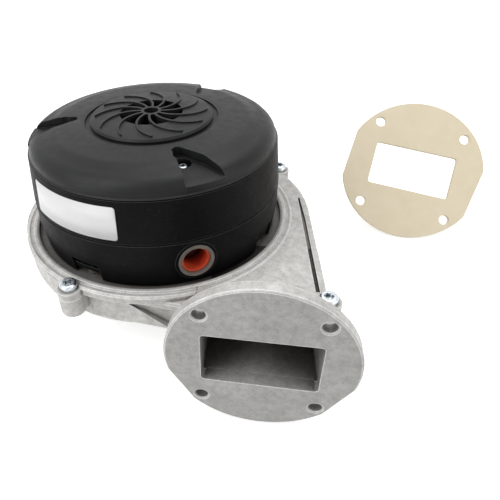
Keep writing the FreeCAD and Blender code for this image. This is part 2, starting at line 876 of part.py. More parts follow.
def pocket_prism(angle, grow, z_low, z_high):
    """Plan wedge of a screw pocket, with a round inner end."""
    far = hood_r + 6
    half = pocket_half_angle
    near_shift = math.degrees(grow / 60.0)
    inner = pocket_inner_r - grow
    side = math.degrees(math.asin((pocket_inner_half + grow) / (inner + 6)))
    left = angle - half - near_shift
    points = [
        polar(inner + 2.2, left), polar(far, left), polar(far, angle + half + near_shift),
        polar(58.0, angle + half * 0.62 + near_shift), polar(inner + 4.4, left + 1.55 * side),
        polar(inner + 0.6, left + 1.05 * side), polar(inner, left + 0.55 * side),
    ]
    return prism([(p.x, p.y) for p in points], z_low, z_high)


def pocket_floor(angle, drop):
    """Everything above the sloping floor of a screw pocket, lowered by a drop."""
    z_in = cover_z + pocket_floor_inner - drop
    z_out = cover_z + pocket_floor_outer - drop
    slope = (z_out - z_in) / (hood_top_r - pocket_inner_r)
    near = pocket_inner_r / 2
    far = hood_r + 10
    top = cover_z + 3 * cover_crown_height
    half = hood_r / 2
    corners = [
        (near, z_in - slope * (pocket_inner_r - near)), (far, z_out + slope * (far - hood_top_r)),
        (far, top), (near, top),
    ]
    wire = Part.makePolygon([Vector(x, -half, z) for x, z in corners + corners[:1]])
    return turned(Part.Face(wire).extrude(Vector(0, 2 * half, 0)), angle)


def cover_body(offset, grow):
    """The cover as a full solid with its pockets, moved inwards by an offset for the inside."""
    body = cover_dome(offset).fuse(cover_disc(offset))
    for angle in pocket_angles:
        wedge = pocket_prism(angle, grow, cover_z - 30, cover_z + 30)
        above = pocket_floor(angle, offset)
        sector_low = cover_z if offset == 0 else cover_z - 20
        sector = cylinder(hood_top_r - cover_draft - offset, sector_low, cover_z + 20).common(wedge)
        body = body.cut(wedge.common(above)).fuse(sector.cut(above))
    return body


def vent_rib():
    """One thin curved rib of the vent, from the hub ring to near the edge of the disc."""
    top = cover_z + vent_disc_height + vent_rib_proud
    low = cover_z + vent_disc_height - vent_rib_depth
    half = vent_rib_width / 2
    start = vent_open_inner_r - 0.6
    marks = ((start, 0.0), (vent_rib_mid_r, vent_rib_mid_sweep), (vent_rib_tip_r, vent_rib_sweep))
    sides = []
    for side in (-1, 1):
        places = []
        for radius, angle in marks:
            shift = math.degrees(side * half / radius) * (1.0 if radius < 25 else 0.9)
            places.append(polar(radius, angle + shift, low))
        sides.append(places)
    near = Part.Arc(*sides[0]).toShape()
    far = Part.Arc(*sides[1]).toShape()
    cap_in = Part.LineSegment(sides[0][0], sides[1][0]).toShape()
    cap_out = Part.LineSegment(sides[0][2], sides[1][2]).toShape()
    wire = Part.Wire(Part.__sortEdges__([near, cap_out, far, cap_in]))
    rib = Part.Face(wire).extrude(Vector(0, 0, top - low))
    crown = revolve([
        (0, low - 1), (vent_disc_r, low - 1), (vent_disc_r, top - vent_disc_dome),
        (vent_open_outer_r, top), (0, top),
    ])
    return rib.common(crown)


def hood_cover():
    """Black cover: domed shell with three screw pockets, a moat and the ribbed vent."""
    outside = cover_body(0.0, 0.0)
    inside = cover_body(cover_wall, cover_wall)
    shell = outside.cut(inside)
    crown_z = cover_z + cover_crown_height
    moat = ring(vent_moat_r, vent_disc_foot_r, crown_z - vent_moat_depth, crown_z + 3)
    shell = shell.cut(moat)
    opening = ring(vent_open_outer_r, vent_open_inner_r, cover_z, cover_z + 30)
    shell = shell.cut([opening, cylinder(vent_hub_hole_r, cover_z, cover_z + 30)])
    shell = shell.cut(cylinder(vent_open_inner_r, cover_z, cover_z + vent_disc_height - vent_rib_depth))
    hub = ring(
        vent_open_inner_r, vent_hub_hole_r, cover_z + vent_disc_height - vent_rib_depth,
        cover_z + vent_disc_height + vent_rib_proud,
    )
    shell = join(shell, [hub] + pattern(vent_rib(), vent_rib_count, 7.0))
    seat_z = counterbore_z()
    cups = []
    bores = []
    for angle in post_angles():
        place = polar(pocket_screw_r, angle)
        cups.append(cylinder(counterbore_r + 1.6, seat_z - counterbore_seat, seat_z + 2.0, place.x, place.y))
        bores.append(cylinder(counterbore_r, seat_z, seat_z + 20, place.x, place.y))
        bores.append(cylinder(cover_screw_r + screw_hole_play, seat_z - 5, seat_z + 1, place.x, place.y))
    spigot_r = hood_top_r - hood_wall - spigot_play
    spigot = ring(spigot_r, spigot_r - spigot_wall, cover_z - spigot_height, cover_z + cover_lip)
    ledge = ring(spigot_r + 1.0, spigot_r - spigot_wall, cover_z, cover_z + cover_lip)
    return join(shell, cups + [spigot, ledge]).cut(bores)


def grommet_parts():
    """Grey ring and orange sleeve of the side port."""
    face = hood_r + side_collar_proud
    ring_outer = side_port_r - grommet_play
    ring_inner = ring_outer - grommet_ring_wall
    grey = radial_cylinder(ring_outer, side_port_angle, side_port_z, face - grommet_ring_depth, face).cut(
        radial_cylinder(ring_inner, side_port_angle, side_port_z, 30, face + 2))
    sleeve_outer = ring_inner - grommet_play
    sleeve_face = face - grommet_set_back
    orange = radial_cylinder(
        sleeve_outer, side_port_angle, side_port_z, sleeve_face - grommet_depth, sleeve_face
    ).cut(radial_cylinder(
        sleeve_outer - grommet_wall, side_port_angle, side_port_z, sleeve_face - grommet_depth + 1.5,
        sleeve_face + 2))
    orange = orange.cut(radial_cylinder(1.6, side_port_angle, side_port_z, 30, face))
    return grey, orange


def bearing_tube():
    """Flanged tube that holds both bearings and carries the stator."""
    flange_top = tray_z + tube_flange_thickness
    body = revolve([
        (tube_inner_r, tray_under_z + 0.2), (tube_r, tray_under_z + 0.2), (tube_r, tray_z),
        (tube_flange_r, tray_z), (tube_flange_r, flange_top), (tube_r + tube_shoulder, flange_top),
        (tube_r + tube_shoulder, stator_z), (tube_r, stator_z), (tube_r, tube_top_z),
        (tube_inner_r, tube_top_z),
    ])
    for low in (lower_bearing_z, upper_bearing_z - washer_thickness):
        seat = cylinder(bearing_r + bearing_fit, low, low + bearing_width + washer_thickness)
        body = body.cut(seat)
    mouth = cylinder(bearing_r + bearing_fit, tray_under_z, lower_bearing_z + 0.1)
    top_mouth = cylinder(bearing_r + bearing_fit, upper_bearing_z, tube_top_z + 1)
    hole = cylinder(tube_screw_r + screw_hole_play, tray_z - 1, flange_top + 1, tube_screw_circle_r, 0)
    return body.cut([mouth, top_mouth] + pattern(hole, tube_screw_count, tube_screw_angle))


def bearings():
    """Outer rings, inner rings and ball sets of the two ball bearings."""
    outer = []
    inner = []
    balls = []
    low_race = shaft_r + bearing_race + bearing_fit
    high_race = bearing_r - bearing_race
    for z in (lower_bearing_z, upper_bearing_z):
        outer.append(ring(bearing_r, high_race, z, z + bearing_width))
        inner.append(ring(low_race, shaft_r + bearing_fit, z, z + bearing_width))
        balls.append(ring(high_race - 0.05, low_race + 0.3, z + 0.6, z + bearing_width - 0.6))
    return Part.makeCompound(outer), Part.makeCompound(inner), Part.makeCompound(balls)


def wave_washer():
    """Preload washer under the upper bearing."""
    return ring(bearing_r - 0.2, bearing_r - 1.5, upper_bearing_z - washer_thickness + 0.05, upper_bearing_z)


def stator_core():
    """Laminated core with a yoke and wide-tipped teeth."""
    high = stator_z + stator_height
    yoke = ring(tube_r + tube_fit + stator_yoke, tube_r + tube_fit, stator_z, high)
    tooth = block(tube_r + 2, stator_r - 0.8, -tooth_width / 2, tooth_width / 2, stator_z, high)
    half = tooth_tip_width / 2
    tip = block(stator_r - tooth_tip - 1, stator_r + 1, -half, half, stator_z, high)
    tip = tip.common(ring(stator_r, stator_r - tooth_tip, stator_z, high))
    return join(yoke, pattern(tooth.fuse(tip), tooth_count))


def coil_sleeve(inner_half, wall, x_low, x_high, z_low, z_high, rise):
    """A rectangular sleeve round one tooth."""
    outside = block(x_low, x_high, -inner_half - wall, inner_half + wall, z_low - rise, z_high + rise)
    inside = block(x_low - 1, x_high + 1, -inner_half, inner_half, z_low - rise + wall, z_high + rise - wall)
    return outside.cut(inside)


def stator_insulators():
    """Thin sleeves between the teeth and the coils."""
    half = tooth_width / 2 + insulator_play
    low = tube_r + tube_fit + stator_yoke + 0.3
    sleeve = coil_sleeve(
        half, insulator_wall, low, stator_r - tooth_tip - 0.2, stator_z, stator_z + stator_height,
        insulator_wall + insulator_play,
    )
    return Part.makeCompound(pattern(sleeve, tooth_count))


def stator_windings():
    """Twelve coils, one on each tooth."""
    half = tooth_width / 2 + 2 * insulator_play + insulator_wall
    low = tube_r + tube_fit + stator_yoke + 1.4
    coil = coil_sleeve(
        half, coil_wall, low, stator_r - tooth_tip - 0.8, stator_z, stator_z + stator_height,
        insulator_wall + 2 * insulator_play + coil_wall,
    )
    return Part.makeCompound(pattern(coil, tooth_count))


def shaft():
    """Steel shaft from the impeller nut to the cooling wheel."""
    body = cylinder(shaft_r, shaft_bottom_z, shaft_top_z)
    ends = [e for e in body.Edges if e.Closed]
    return body.makeChamfer(0.5, ends)


def rotor_cup():
    """Deep-drawn steel cup with its hub on the shaft."""
    body = revolve([
        (cup_hub_r, upper_bearing_z + bearing_width), (cup_hub_r, cup_top_z - cup_wall),
        (magnet_outer_r, cup_top_z - cup_wall), (magnet_outer_r, cup_bottom_z), (cup_outer_r, cup_bottom_z),
        (cup_outer_r, cup_top_z - 1.5), (cup_outer_r - 1.5, cup_top_z), (shaft_r + bearing_fit, cup_top_z),
        (shaft_r + bearing_fit, upper_bearing_z + bearing_width),
    ])
    vents = cylinder(3.2, cup_top_z - 5, cup_top_z + 1, 17.0, 0)
    return body.cut(pattern(vents, 6))


def rotor_magnets():
    """Eight magnet segments inside the cup."""
    whole = ring(magnet_outer_r, rotor_inner_r, magnet_z, magnet_z + magnet_height)
    half = magnet_space / 2
    gap = block(rotor_inner_r - 2, magnet_outer_r + 2, -half, half, 0, cup_top_z)
    return whole.cut(pattern(gap, magnet_count))


def curved_blade(width, r_in, r_out, sweep, z_low, z_high):
    """A blade that follows one arc from an inner to an outer radius."""
    middle = (r_in + r_out) / 2
    marks = ((r_in, 0.0), (middle, sweep * 0.42), (r_out, sweep))
    sides = []
    for side in (-1, 1):
        sides.append([
            polar(radius, angle + math.degrees(side * width / 2 / radius), z_low) for radius, angle in marks
        ])
    edges = [
        Part.Arc(*sides[0]).toShape(), Part.Arc(*sides[1]).toShape(),
        Part.LineSegment(sides[0][0], sides[1][0]).toShape(),
        Part.LineSegment(sides[0][2], sides[1][2]).toShape(),
    ]
    wire = Part.Wire(Part.__sortEdges__(edges))
    return Part.Face(wire).extrude(Vector(0, 0, z_high - z_low))


def cooling_wheel():
    """Small plastic wheel on the rotor that draws air in through the vent."""
    body = cylinder(wheel_r, wheel_z, wheel_z + wheel_plate)
    hub = cylinder(wheel_hub_r, wheel_z, wheel_z + wheel_hub_height)
    blade = curved_blade(wheel_blade_width, wheel_hub_r + 4, wheel_r - 0.5, 24.0, wheel_z + 0.5,
                         wheel_z + wheel_height)
    body = join(body, [hub] + pattern(blade, wheel_blade_count))
    return body.cut(cylinder(shaft_r + bearing_fit, wheel_z - 1, wheel_z + wheel_height))


def impeller_parts():
    """Back plate, shroud, blades and hub of the impeller."""
    plate_top = back_plate_z + plate_thickness
    back = ring(impeller_r, hub_r + bearing_fit, back_plate_z, plate_top)
    eye_z = shroud_z - shroud_eye_drop
    shroud = revolve([
        (shroud_eye_r, eye_z), (shroud_eye_r + plate_thickness, eye_z),
        (shroud_eye_r + plate_thickness + 1.4, shroud_z), (impeller_r, shroud_z),
        (impeller_r, shroud_z + plate_thickness), (shroud_eye_r + 1.6, shroud_z + plate_thickness),
        (shroud_eye_r, shroud_z),
    ])
    blade = curved_blade(
        blade_width, blade_inner_r + 1.6, blade_outer_r, blade_sweep, shroud_z + plate_thickness, back_plate_z
    )
    blades = Part.makeCompound(pattern(blade, blade_count))
    hub = revolve([
        (shaft_r + bearing_fit, hub_bottom_z), (hub_r, hub_bottom_z), (hub_r, plate_top),
        (hub_flange_r, plate_top), (hub_flange_r, plate_top + hub_flange_thickness),
        (hub_neck_r, plate_top + hub_flange_thickness), (hub_neck_r, lower_bearing_z),
        (shaft_r + bearing_fit, lower_bearing_z),
    ])
    return back, shroud, blades, hub


def impeller_nut():
    """Hexagon nut under the impeller hub."""
    radius = nut_across_flats / math.sqrt(3)
    corners = [polar(radius, 60 * i) for i in range(6)]
    top = hub_bottom_z - plate_thickness
    nut = prism([(p.x, p.y) for p in corners], top - nut_height, top)
    return nut.cut(cylinder(shaft_r + bearing_fit, 0, top + 1))


def impeller_washer():
    """Washer between the nut and the hub."""
    return ring(washer_r, shaft_r + bearing_fit, hub_bottom_z - plate_thickness, hub_bottom_z)


def shaft_seal():
    """Seal disc in the foot of the bearing tube, just under the lower bearing."""
    low = tray_under_z - shaft_seal_thickness
    return ring(shaft_seal_r, hub_neck_r + shaft_seal_play, low, tray_under_z)


def circuit_board():
    """Ring-shaped board round the rotor, cut clear of the cover posts."""
    body = ring(board_r, board_bore_r, board_z, board_top_z)
    cutters = []
    for angle in post_angles():
        place = polar(pocket_screw_r, angle)
        cutters.append(cylinder(post_r + board_post_play, board_z - 1, board_top_z + 1, place.x, place.y))
    for angle in board_screw_angles:
        place = polar(board_screw_circle_r, angle)
        radius = board_screw_r + screw_hole_play
        cutters.append(cylinder(radius, board_z - 1, board_top_z + 1, place.x, place.y))
    cutters.append(radial_cylinder(side_port_r + 1, side_port_angle, side_port_z, board_r - 4, hood_r))
    return body.cut(cutters)


def board_capacitors():
    """Upright electrolytic capacitors."""
    cans = []
    for angle in capacitor_angles:
        place = polar(part_circle_r, angle)
        can = cylinder(capacitor_r, board_top_z, board_top_z + capacitor_height, place.x, place.y)
        top = [e for e in can.Edges if e.Closed and e.CenterOfMass.z > board_top_z + 1]
        cans.append(can.makeFillet(0.8, top))
    return Part.makeCompound(cans)


def board_block(angle, length, depth, z_low, z_high):
    """A block that lies along the board at an azimuth."""
    half = length / 2
    near = part_circle_r - depth / 2
    return turned(block(near, near + depth, -half, half, z_low, z_high), angle)


def power_module():
    """Power semiconductor package."""
    return board_block(module_angle, module_length, module_depth, board_top_z, board_top_z + module_height)


def heat_sink():
    """Finned heat sink on the power module."""
    low = board_top_z + module_height
    body = board_block(module_angle, module_length, module_depth, low, low + heat_sink_height)
    pitch = (module_length - heat_sink_fin) / (heat_sink_fins - 1)
    gaps = []
    for i in range(heat_sink_fins - 1):
        start = -module_length / 2 + heat_sink_fin + pitch * i
        end = start + pitch - heat_sink_fin
        gap = block(0, board_r, start, end, low + heat_sink_base, low + heat_sink_height + 1)
        gaps.append(turned(gap, module_angle))
    return body.cut(gaps)


def supply_connector():
    """Open-topped header that the supply plug enters."""
    body = board_block(connector_angle, connector_length, connector_depth, board_top_z,
                       board_top_z + connector_height)
    inner = board_block(
        connector_angle, connector_length - 2 * connector_wall, connector_depth - 2 * connector_wall,
        board_top_z + connector_wall, board_top_z + connector_height + 1,
    )
    return body.cut(inner)


def outlet_gasket():
    """Flange gasket, leaning back on its edge beside the fan."""
    plate = flange_disc(gasket_thickness, 0, gasket_flat, gasket_flat_angles)
    window = rounded_window(
        port_width - 2 * gasket_window_inset, port_height - 2 * gasket_window_inset, port_round
    )
    plate = plate.cut(window.extrude(Vector(0, 0, -gasket_thickness)))
    plate.rotate(Vector(0, 0, 0), Vector(0, 0, 1), gasket_roll)
    plate.rotate(Vector(0, 0, 0), Vector(1, 0, 0), gasket_lean)
    plate.rotate(Vector(0, 0, 0), Vector(0, 0, 1), gasket_turn)
    plate.translate(Vector(*gasket_place))
    return plate


def main():
    """Builds and writes every node."""
    os.makedirs("parts", exist_ok=True)
    save("lower_casting", lower_casting())
    save("upper_casting", upper_casting())
    save("housing_seal", seal_strip(0.0))
    head_z = deck_z - lug_top_drop
    save("housing_screws", screws_at(
        lug_places(head_z), lug_screw_r, lug_screw_length, lug_screw_head_r, lug_screw_head))
    save("outlet_gasket", outlet_gasket())
    save("motor_base", motor_base())
    mounts = [polar(mount_r, mount_first_angle + 360.0 * i / mount_count, base_floor_top_z)
              for i in range(mount_count)]
    save("motor_mount_screws", screws_at(
        mounts, mount_screw_r, base_floor_top_z - tray_z, mount_screw_head_r, mount_screw_head))
    save("hood_ring", hood_ring())
    save("hood_cover", hood_cover())
    posts = [polar(pocket_screw_r, angle, counterbore_z()) for angle in post_angles()]
    save("cover_screws", screws_at(
        posts, cover_screw_r, cover_screw_length, cover_screw_head_r, cover_screw_head))
    grey, orange = grommet_parts()
    save("grommet_ring", grey)
    save("cable_grommet", orange)
    save("bearing_tube", bearing_tube())
    tube_flange_z = tray_z + tube_flange_thickness
    tube_screws = [
        polar(tube_screw_circle_r, tube_screw_angle + 360.0 * i / tube_screw_count, tube_flange_z)
        for i in range(tube_screw_count)
    ]
    save("bearing_tube_screws", screws_at(
        tube_screws, tube_screw_r, tube_screw_length, tube_screw_head_r, tube_screw_head))
    outer, inner, balls = bearings()
    save("bearing_outer_rings", outer)
    save("bearing_inner_rings", inner)
    save("bearing_ball_sets", balls)
    save("wave_washer", wave_washer())
    save("stator_core", stator_core())
    save("stator_insulators", stator_insulators())
    save("stator_windings", stator_windings())
    save("shaft", shaft())
    save("rotor_cup", rotor_cup())
    save("rotor_magnets", rotor_magnets())
    save("cooling_wheel", cooling_wheel())
    back, shroud, blades, hub = impeller_parts()
    save("impeller_back_plate", back)
    save("impeller_shroud", shroud)
    save("impeller_blades", blades)
    save("impeller_hub", hub)
    save("impeller_nut", impeller_nut())
    save("impeller_washer", impeller_washer())
    save("shaft_seal", shaft_seal())
    save("circuit_board", circuit_board())
    board_places = [polar(board_screw_circle_r, angle, board_top_z) for angle in board_screw_angles]
    save("board_screws", screws_at(
        board_places, board_screw_r, board_screw_length, board_screw_head_r, board_screw_head))
    save("board_capacitors", board_capacitors())
    save("power_module", power_module())
    save("heat_sink", heat_sink())
    save("supply_connector", supply_connector())


main()
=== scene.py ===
"""Looks, light and camera of the exhaust fan."""

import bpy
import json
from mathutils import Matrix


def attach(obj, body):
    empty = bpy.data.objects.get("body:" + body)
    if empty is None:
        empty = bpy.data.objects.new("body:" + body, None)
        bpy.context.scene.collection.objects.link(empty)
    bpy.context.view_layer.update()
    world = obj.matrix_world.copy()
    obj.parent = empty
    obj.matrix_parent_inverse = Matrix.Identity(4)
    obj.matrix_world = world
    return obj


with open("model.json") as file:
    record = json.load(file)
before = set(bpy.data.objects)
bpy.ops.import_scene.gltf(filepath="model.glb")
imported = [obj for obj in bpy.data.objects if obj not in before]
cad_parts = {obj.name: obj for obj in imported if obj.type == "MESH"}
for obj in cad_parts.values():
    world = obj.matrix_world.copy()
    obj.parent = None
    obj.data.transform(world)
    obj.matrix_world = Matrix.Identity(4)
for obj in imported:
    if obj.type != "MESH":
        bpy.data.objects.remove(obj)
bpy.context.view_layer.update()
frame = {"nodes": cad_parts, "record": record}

import json
import math

import bmesh
import bpy
from mathutils import Matrix, Vector

MM_PER_M = 1000.0

# Places taken from the part's model, in millimetres
FLANGE_FACE_Y = -107.1
FLANGE_FACE_BAND = 0.35
# Band of the flange's bolt holes, where painted shade darkens the bores
FLANGE_BORES_Y = -103.0
FLANGE_BORES_BAND = 3.9
# Box of the duct, where painted shade darkens the deep inside
DUCT_CENTRE = (72.7, -68.0, 20.6)
DUCT_HALF = (30.2, 40.0, 15.6)
# Tray floor round the motor, which gets painted shade
TRAY_R = 77.9
TRAY_EDGE = 0.7
TRAY_Z = 35.5
TRAY_BAND = 1.8
# Azimuth of the grommet sleeve and the depths over which its painted shade fades
SLEEVE_AZ = math.radians(-61.6)
SLEEVE_DEPTHS = (62.5, 69.5)

# The label and the tapered ring under it, in metres and degrees
RING_FOOT_R = 0.075
RING_FOOT_Z = 0.0639
RING_TAPER = 0.0871
LABEL_AZ = (-137.2, -91.9)
LABEL_Z = (0.0659, 0.0848)
LABEL_LIFT = 0.00016
LABEL_THICKNESS = LABEL_LIFT * 0.9
LABEL_CORNER = 0.0016
LABEL_COLUMNS = 64

# The floor that the fan and the gasket rest on: slopes, height at the motor axis and half its side
REST_SLOPE_X = -0.0010
REST_SLOPE_Y = 0.1623
REST_Z = -0.00946
FLOOR_HALF = 6.0
FLOOR_TONE = (0.86, 0.86, 0.86, 1)
FLOOR_ROUGHNESS = 0.9

# Light: what the floor adds where it is seen, the surround's strength as a light and as a
# background, and the lamps in metres and watts
WHITE = (1, 1, 1, 1)
FLOOR_GLOW = 0.60
SURROUND_LIGHT = 0.34
SURROUND_SEEN = 1.0
LAMPS = (
    ("key", dict(place=(-0.50, -0.45, 0.95), target=(0.03, -0.02, 0.05), size=0.7, power=4.8)),
    ("front", dict(place=(-0.80, -0.80, 0.42), target=(0.03, -0.02, 0.05), size=0.6, power=3.0)),
    ("top", dict(place=(0.15, 0.30, 1.10), target=(0.03, 0.0, 0.06), size=0.8, power=5.4)),
    ("side", dict(place=(0.95, -0.35, 0.40), target=(0.05, -0.05, 0.03), size=0.5, power=1.9)),
)

# The photograph's camera: place in metres and the directions of the picture
EYE = (0.073834, -0.262264, 0.212110)
PICTURE_RIGHT = (0.983707, 0.175171, -0.040440)
PICTURE_DOWN = (0.075960, -0.608863, -0.789630)
PICTURE_AHEAD = (-0.162943, 0.773693, -0.612249)
SENSOR_WIDTH = 36.0
LENS = 35.246
SHIFT_X = 0.1200
CLIP_START = 0.01
CLIP_END = 50.0

# Sockets of the Mix node: first input, second input and output
MIX_SOCKETS = {"VECTOR": (4, 5, 1), "RGBA": (6, 7, 2)}

# The range that most of a noise's values keep to
NOISE_SPAN = (0.3, 0.7)
# Agreement of rounded and plain normals: a flat and a sharp edge, then a real edge and a mere fold
EDGE_AGREEMENT = (0.999, 0.955)
FOLD_AGREEMENT = (0.955, 0.985)
# Ambient shade that tells a corner from an outer edge
EDGE_SHADE = (0.62, 0.86)
BEVEL_SAMPLES = 6
SHADE_SAMPLES = 6

METALS = {
    "machined_aluminium": dict(
        dark=(0.58, 0.58, 0.58), pale=(0.74, 0.74, 0.73), rough=(0.26, 0.38), turned=True),
    "sheet_aluminium": dict(dark=(0.60, 0.60, 0.60), pale=(0.72, 0.72, 0.71), rough=(0.3, 0.45)),
    "zinc_screws": dict(dark=(0.50, 0.55, 0.60), pale=(0.78, 0.82, 0.85), rough=(0.2, 0.34)),
    "bearing_steel": dict(
        dark=(0.45, 0.45, 0.45), pale=(0.62, 0.62, 0.62), rough=(0.14, 0.24), turned=True),
    "laminated_steel": dict(
        dark=(0.22, 0.23, 0.24), pale=(0.38, 0.39, 0.40), rough=(0.35, 0.5), turned=True),
    "plated_steel": dict(dark=(0.42, 0.43, 0.44), pale=(0.56, 0.57, 0.58), rough=(0.25, 0.4)),
    "copper_winding": dict(
        dark=(0.42, 0.15, 0.05), pale=(0.62, 0.26, 0.10), rough=(0.25, 0.4), turned=True),
}

# The grain is its size and its depth in millimetres
# The last colour of each plastic serves random specks and the painted highlight on outer edges, at
# the share given after it.
PLASTICS = {
    "black_plastic_ring": dict(
        dark=(0.0045, 0.0045, 0.0047), pale=(0.0065, 0.0065, 0.0068), rough=0.48,
        grain=(0.5, 0.03), speck_and_edge_highlight=(0.15, 0.15, 0.155), edge_highlight_share=0.55, specular=0.06),
    "black_plastic_cover": dict(
        dark=(0.0130, 0.0132, 0.0138), pale=(0.0155, 0.0158, 0.0165), rough=0.40,
        grain=(0.55, 0.05), speck_and_edge_highlight=(0.085, 0.087, 0.09), edge_highlight_share=0.40, specular=0.20, folds=5.0),
    "wheel_plastic": dict(
        dark=(0.012, 0.012, 0.012), pale=(0.02, 0.02, 0.02), rough=0.45,
        grain=(0.5, 0.02), speck_and_edge_highlight=(0.06, 0.06, 0.06), edge_highlight_share=0.3),
    "white_plastic": dict(
        dark=(0.70, 0.69, 0.66), pale=(0.78, 0.77, 0.74), rough=0.45,
        grain=(0.5, 0.02), speck_and_edge_highlight=(0.82, 0.82, 0.80), edge_highlight_share=0.3),
    "board_green": dict(
        dark=(0.01, 0.09, 0.04), pale=(0.02, 0.14, 0.06), rough=0.35,
        grain=(0.8, 0.01), speck_and_edge_highlight=(0.25, 0.32, 0.22), edge_highlight_share=0.4),
    "capacitor_sleeve": dict(
        dark=(0.010, 0.011, 0.02), pale=(0.016, 0.018, 0.03), rough=0.25,
        grain=(0.9, 0.005), speck_and_edge_highlight=(0.06, 0.06, 0.08), edge_highlight_share=0.2),
    "black_resin": dict(
        dark=(0.013, 0.013, 0.013), pale=(0.02, 0.02, 0.02), rough=0.5,
        grain=(0.4, 0.02), speck_and_edge_highlight=(0.06, 0.06, 0.06), edge_highlight_share=0.2),
    "magnet_dark": dict(
        dark=(0.02, 0.02, 0.021), pale=(0.035, 0.035, 0.036), rough=0.5,
        grain=(0.3, 0.03), speck_and_edge_highlight=(0.10, 0.10, 0.10), edge_highlight_share=0.2),
}

RUBBERS = {
    "black_rubber": dict(dark=(0.012, 0.012, 0.012), pale=(0.022, 0.022, 0.022), rough=0.62),
    "grommet_grey": dict(dark=(0.13, 0.115, 0.10), pale=(0.20, 0.175, 0.155), rough=0.45),
    "orange_silicone": dict(
        dark=(0.72, 0.080, 0.032), pale=(0.84, 0.115, 0.044), rough=0.42, depths=SLEEVE_DEPTHS),
}


def dimmed(colour, share):
    """A share of a colour."""
    return tuple(share * value for value in colour)


class Look:
    """A procedural material on one Principled shader; lengths are in millimetres."""

    def __init__(self, name, roughness, metallic=0.0, specular=0.5):
        self.material = bpy.data.materials.new(name)
        self.material.use_nodes = True
        self.nodes = self.material.node_tree.nodes
        self.links = self.material.node_tree.links
        self.shader = self.nodes["Principled BSDF"]
        self.shader.inputs["Roughness"].default_value = roughness
        self.shader.inputs["Metallic"].default_value = metallic
        self.shader.inputs["Specular IOR Level"].default_value = specular
        self.coords = self.nodes.new("ShaderNodeTexCoord").outputs["Object"]
        self.normal = None

    def join(self, value, socket):
        """Sets a socket from a link or from a plain value."""
        if isinstance(value, bpy.types.NodeSocket):
            self.links.new(value, socket)
        else:
            socket.default_value = value

    def noise(self, size, detail=3.0, rough=0.5, stretch=(1, 1, 1)):
        """Noise whose features are about this size."""
        mapping = self.nodes.new("ShaderNodeMapping")
        mapping.inputs["Scale"].default_value = stretch
        self.links.new(self.coords, mapping.inputs["Vector"])
        node = self.nodes.new("ShaderNodeTexNoise")
        node.inputs["Scale"].default_value = MM_PER_M / size
        node.inputs["Detail"].default_value = detail
        node.inputs["Roughness"].default_value = rough
        self.links.new(mapping.outputs["Vector"], node.inputs["Vector"])
        return node.outputs["Fac"]

    def grain(self, size):
        """Small round cells, as on spark-eroded moulds."""
        node = self.nodes.new("ShaderNodeTexVoronoi")
        node.inputs["Scale"].default_value = MM_PER_M / size
        self.links.new(self.coords, node.inputs["Vector"])
        return node.outputs["Distance"]

    def spread(self, value, low, high, out_low=0.0, out_high=1.0):
        """Maps a range of a value to another range, clamped."""
        node = self.nodes.new("ShaderNodeMapRange")
        self.links.new(value, node.inputs["Value"])
        node.inputs["From Min"].default_value = low
        node.inputs["From Max"].default_value = high
        node.inputs["To Min"].default_value = out_low
        node.inputs["To Max"].default_value = out_high
        return node.outputs["Result"]

    def uneven(self, size, detail, low, high):
        """A number that wanders between two values in patches of about this size."""
        return self.spread(self.noise(size, detail), *NOISE_SPAN, low, high)

    def math(self, kind, *values):
        """One arithmetic step."""
        node = self.nodes.new("ShaderNodeMath")
        node.operation = kind
        for value, socket in zip(values, node.inputs):
            self.join(value, socket)
        return node.outputs[0]

    def blend(self, kind, share, first, second):
        """Two vectors or two colours mixed."""
        first_socket, second_socket, result = MIX_SOCKETS[kind]
        node = self.nodes.new("ShaderNodeMix")
        node.data_type = kind
        self.join(share, node.inputs[0])
        self.join(first, node.inputs[first_socket])
        self.join(second, node.inputs[second_socket])
        return node.outputs[result]

    def mix(self, share, *colours):
        """Two colours mixed: the first where the share is 0, the second where it is 1."""
        first, second = ((*c, 1.0) if isinstance(c, tuple) else c for c in colours)
        return self.blend("RGBA", share, first, second)

    def coat(self, base, mask, share, colour):
        """Lays a colour over the base where the mask is, by this share at most."""
        return self.mix(self.math("MULTIPLY", mask, share), base, colour)

    def rounded(self, width):
        """Normals rounded off over this width, and how well they agree with the plain ones."""
        bevel = self.nodes.new("ShaderNodeBevel")
        bevel.samples = BEVEL_SAMPLES
        bevel.inputs["Radius"].default_value = width / MM_PER_M
        plain = self.nodes.new("ShaderNodeNewGeometry")
        dot = self.nodes.new("ShaderNodeVectorMath")
        dot.operation = "DOT_PRODUCT"
        self.links.new(bevel.outputs["Normal"], dot.inputs[0])
        self.links.new(plain.outputs["Normal"], dot.inputs[1])
        return bevel.outputs["Normal"], dot.outputs["Value"]

    def edge(self, width):
        """About 1 on outer edges within this width, 0 on flats and in corners."""
        sharp = self.spread(self.rounded(width)[1], *EDGE_AGREEMENT)
        return self.math("MULTIPLY", sharp, self.spread(self.shade(2 * width), *EDGE_SHADE))

    def soft_edges(self, width):
        """Rounds the shading of edges by this width."""
        self.normal = self.rounded(width)[0]

    def soft_folds(self, width):
        """Blends gentle folds over this width and leaves real edges as they are."""
        normal, agreement = self.rounded(width)
        fold = self.spread(agreement, *FOLD_AGREEMENT)
        self.normal = self.blend("VECTOR", fold, self.normal, normal)

    def place(self, axis):
        """Place along one axis of the part's frame."""
        split = self.nodes.new("ShaderNodeSeparateXYZ")
        self.links.new(self.coords, split.inputs[0])
        return self.math("MULTIPLY", split.outputs[axis], MM_PER_M)

    def reach(self):
        """Distance from the motor axis."""
        east = self.math("MULTIPLY", self.place("X"), self.place("X"))
        north = self.math("MULTIPLY", self.place("Y"), self.place("Y"))
        return self.math("SQRT", self.math("ADD", east, north))

    def near(self, value, centre, half):
        """1 where a value lies within half a width of a centre."""
        return self.math("COMPARE", value, centre, half)

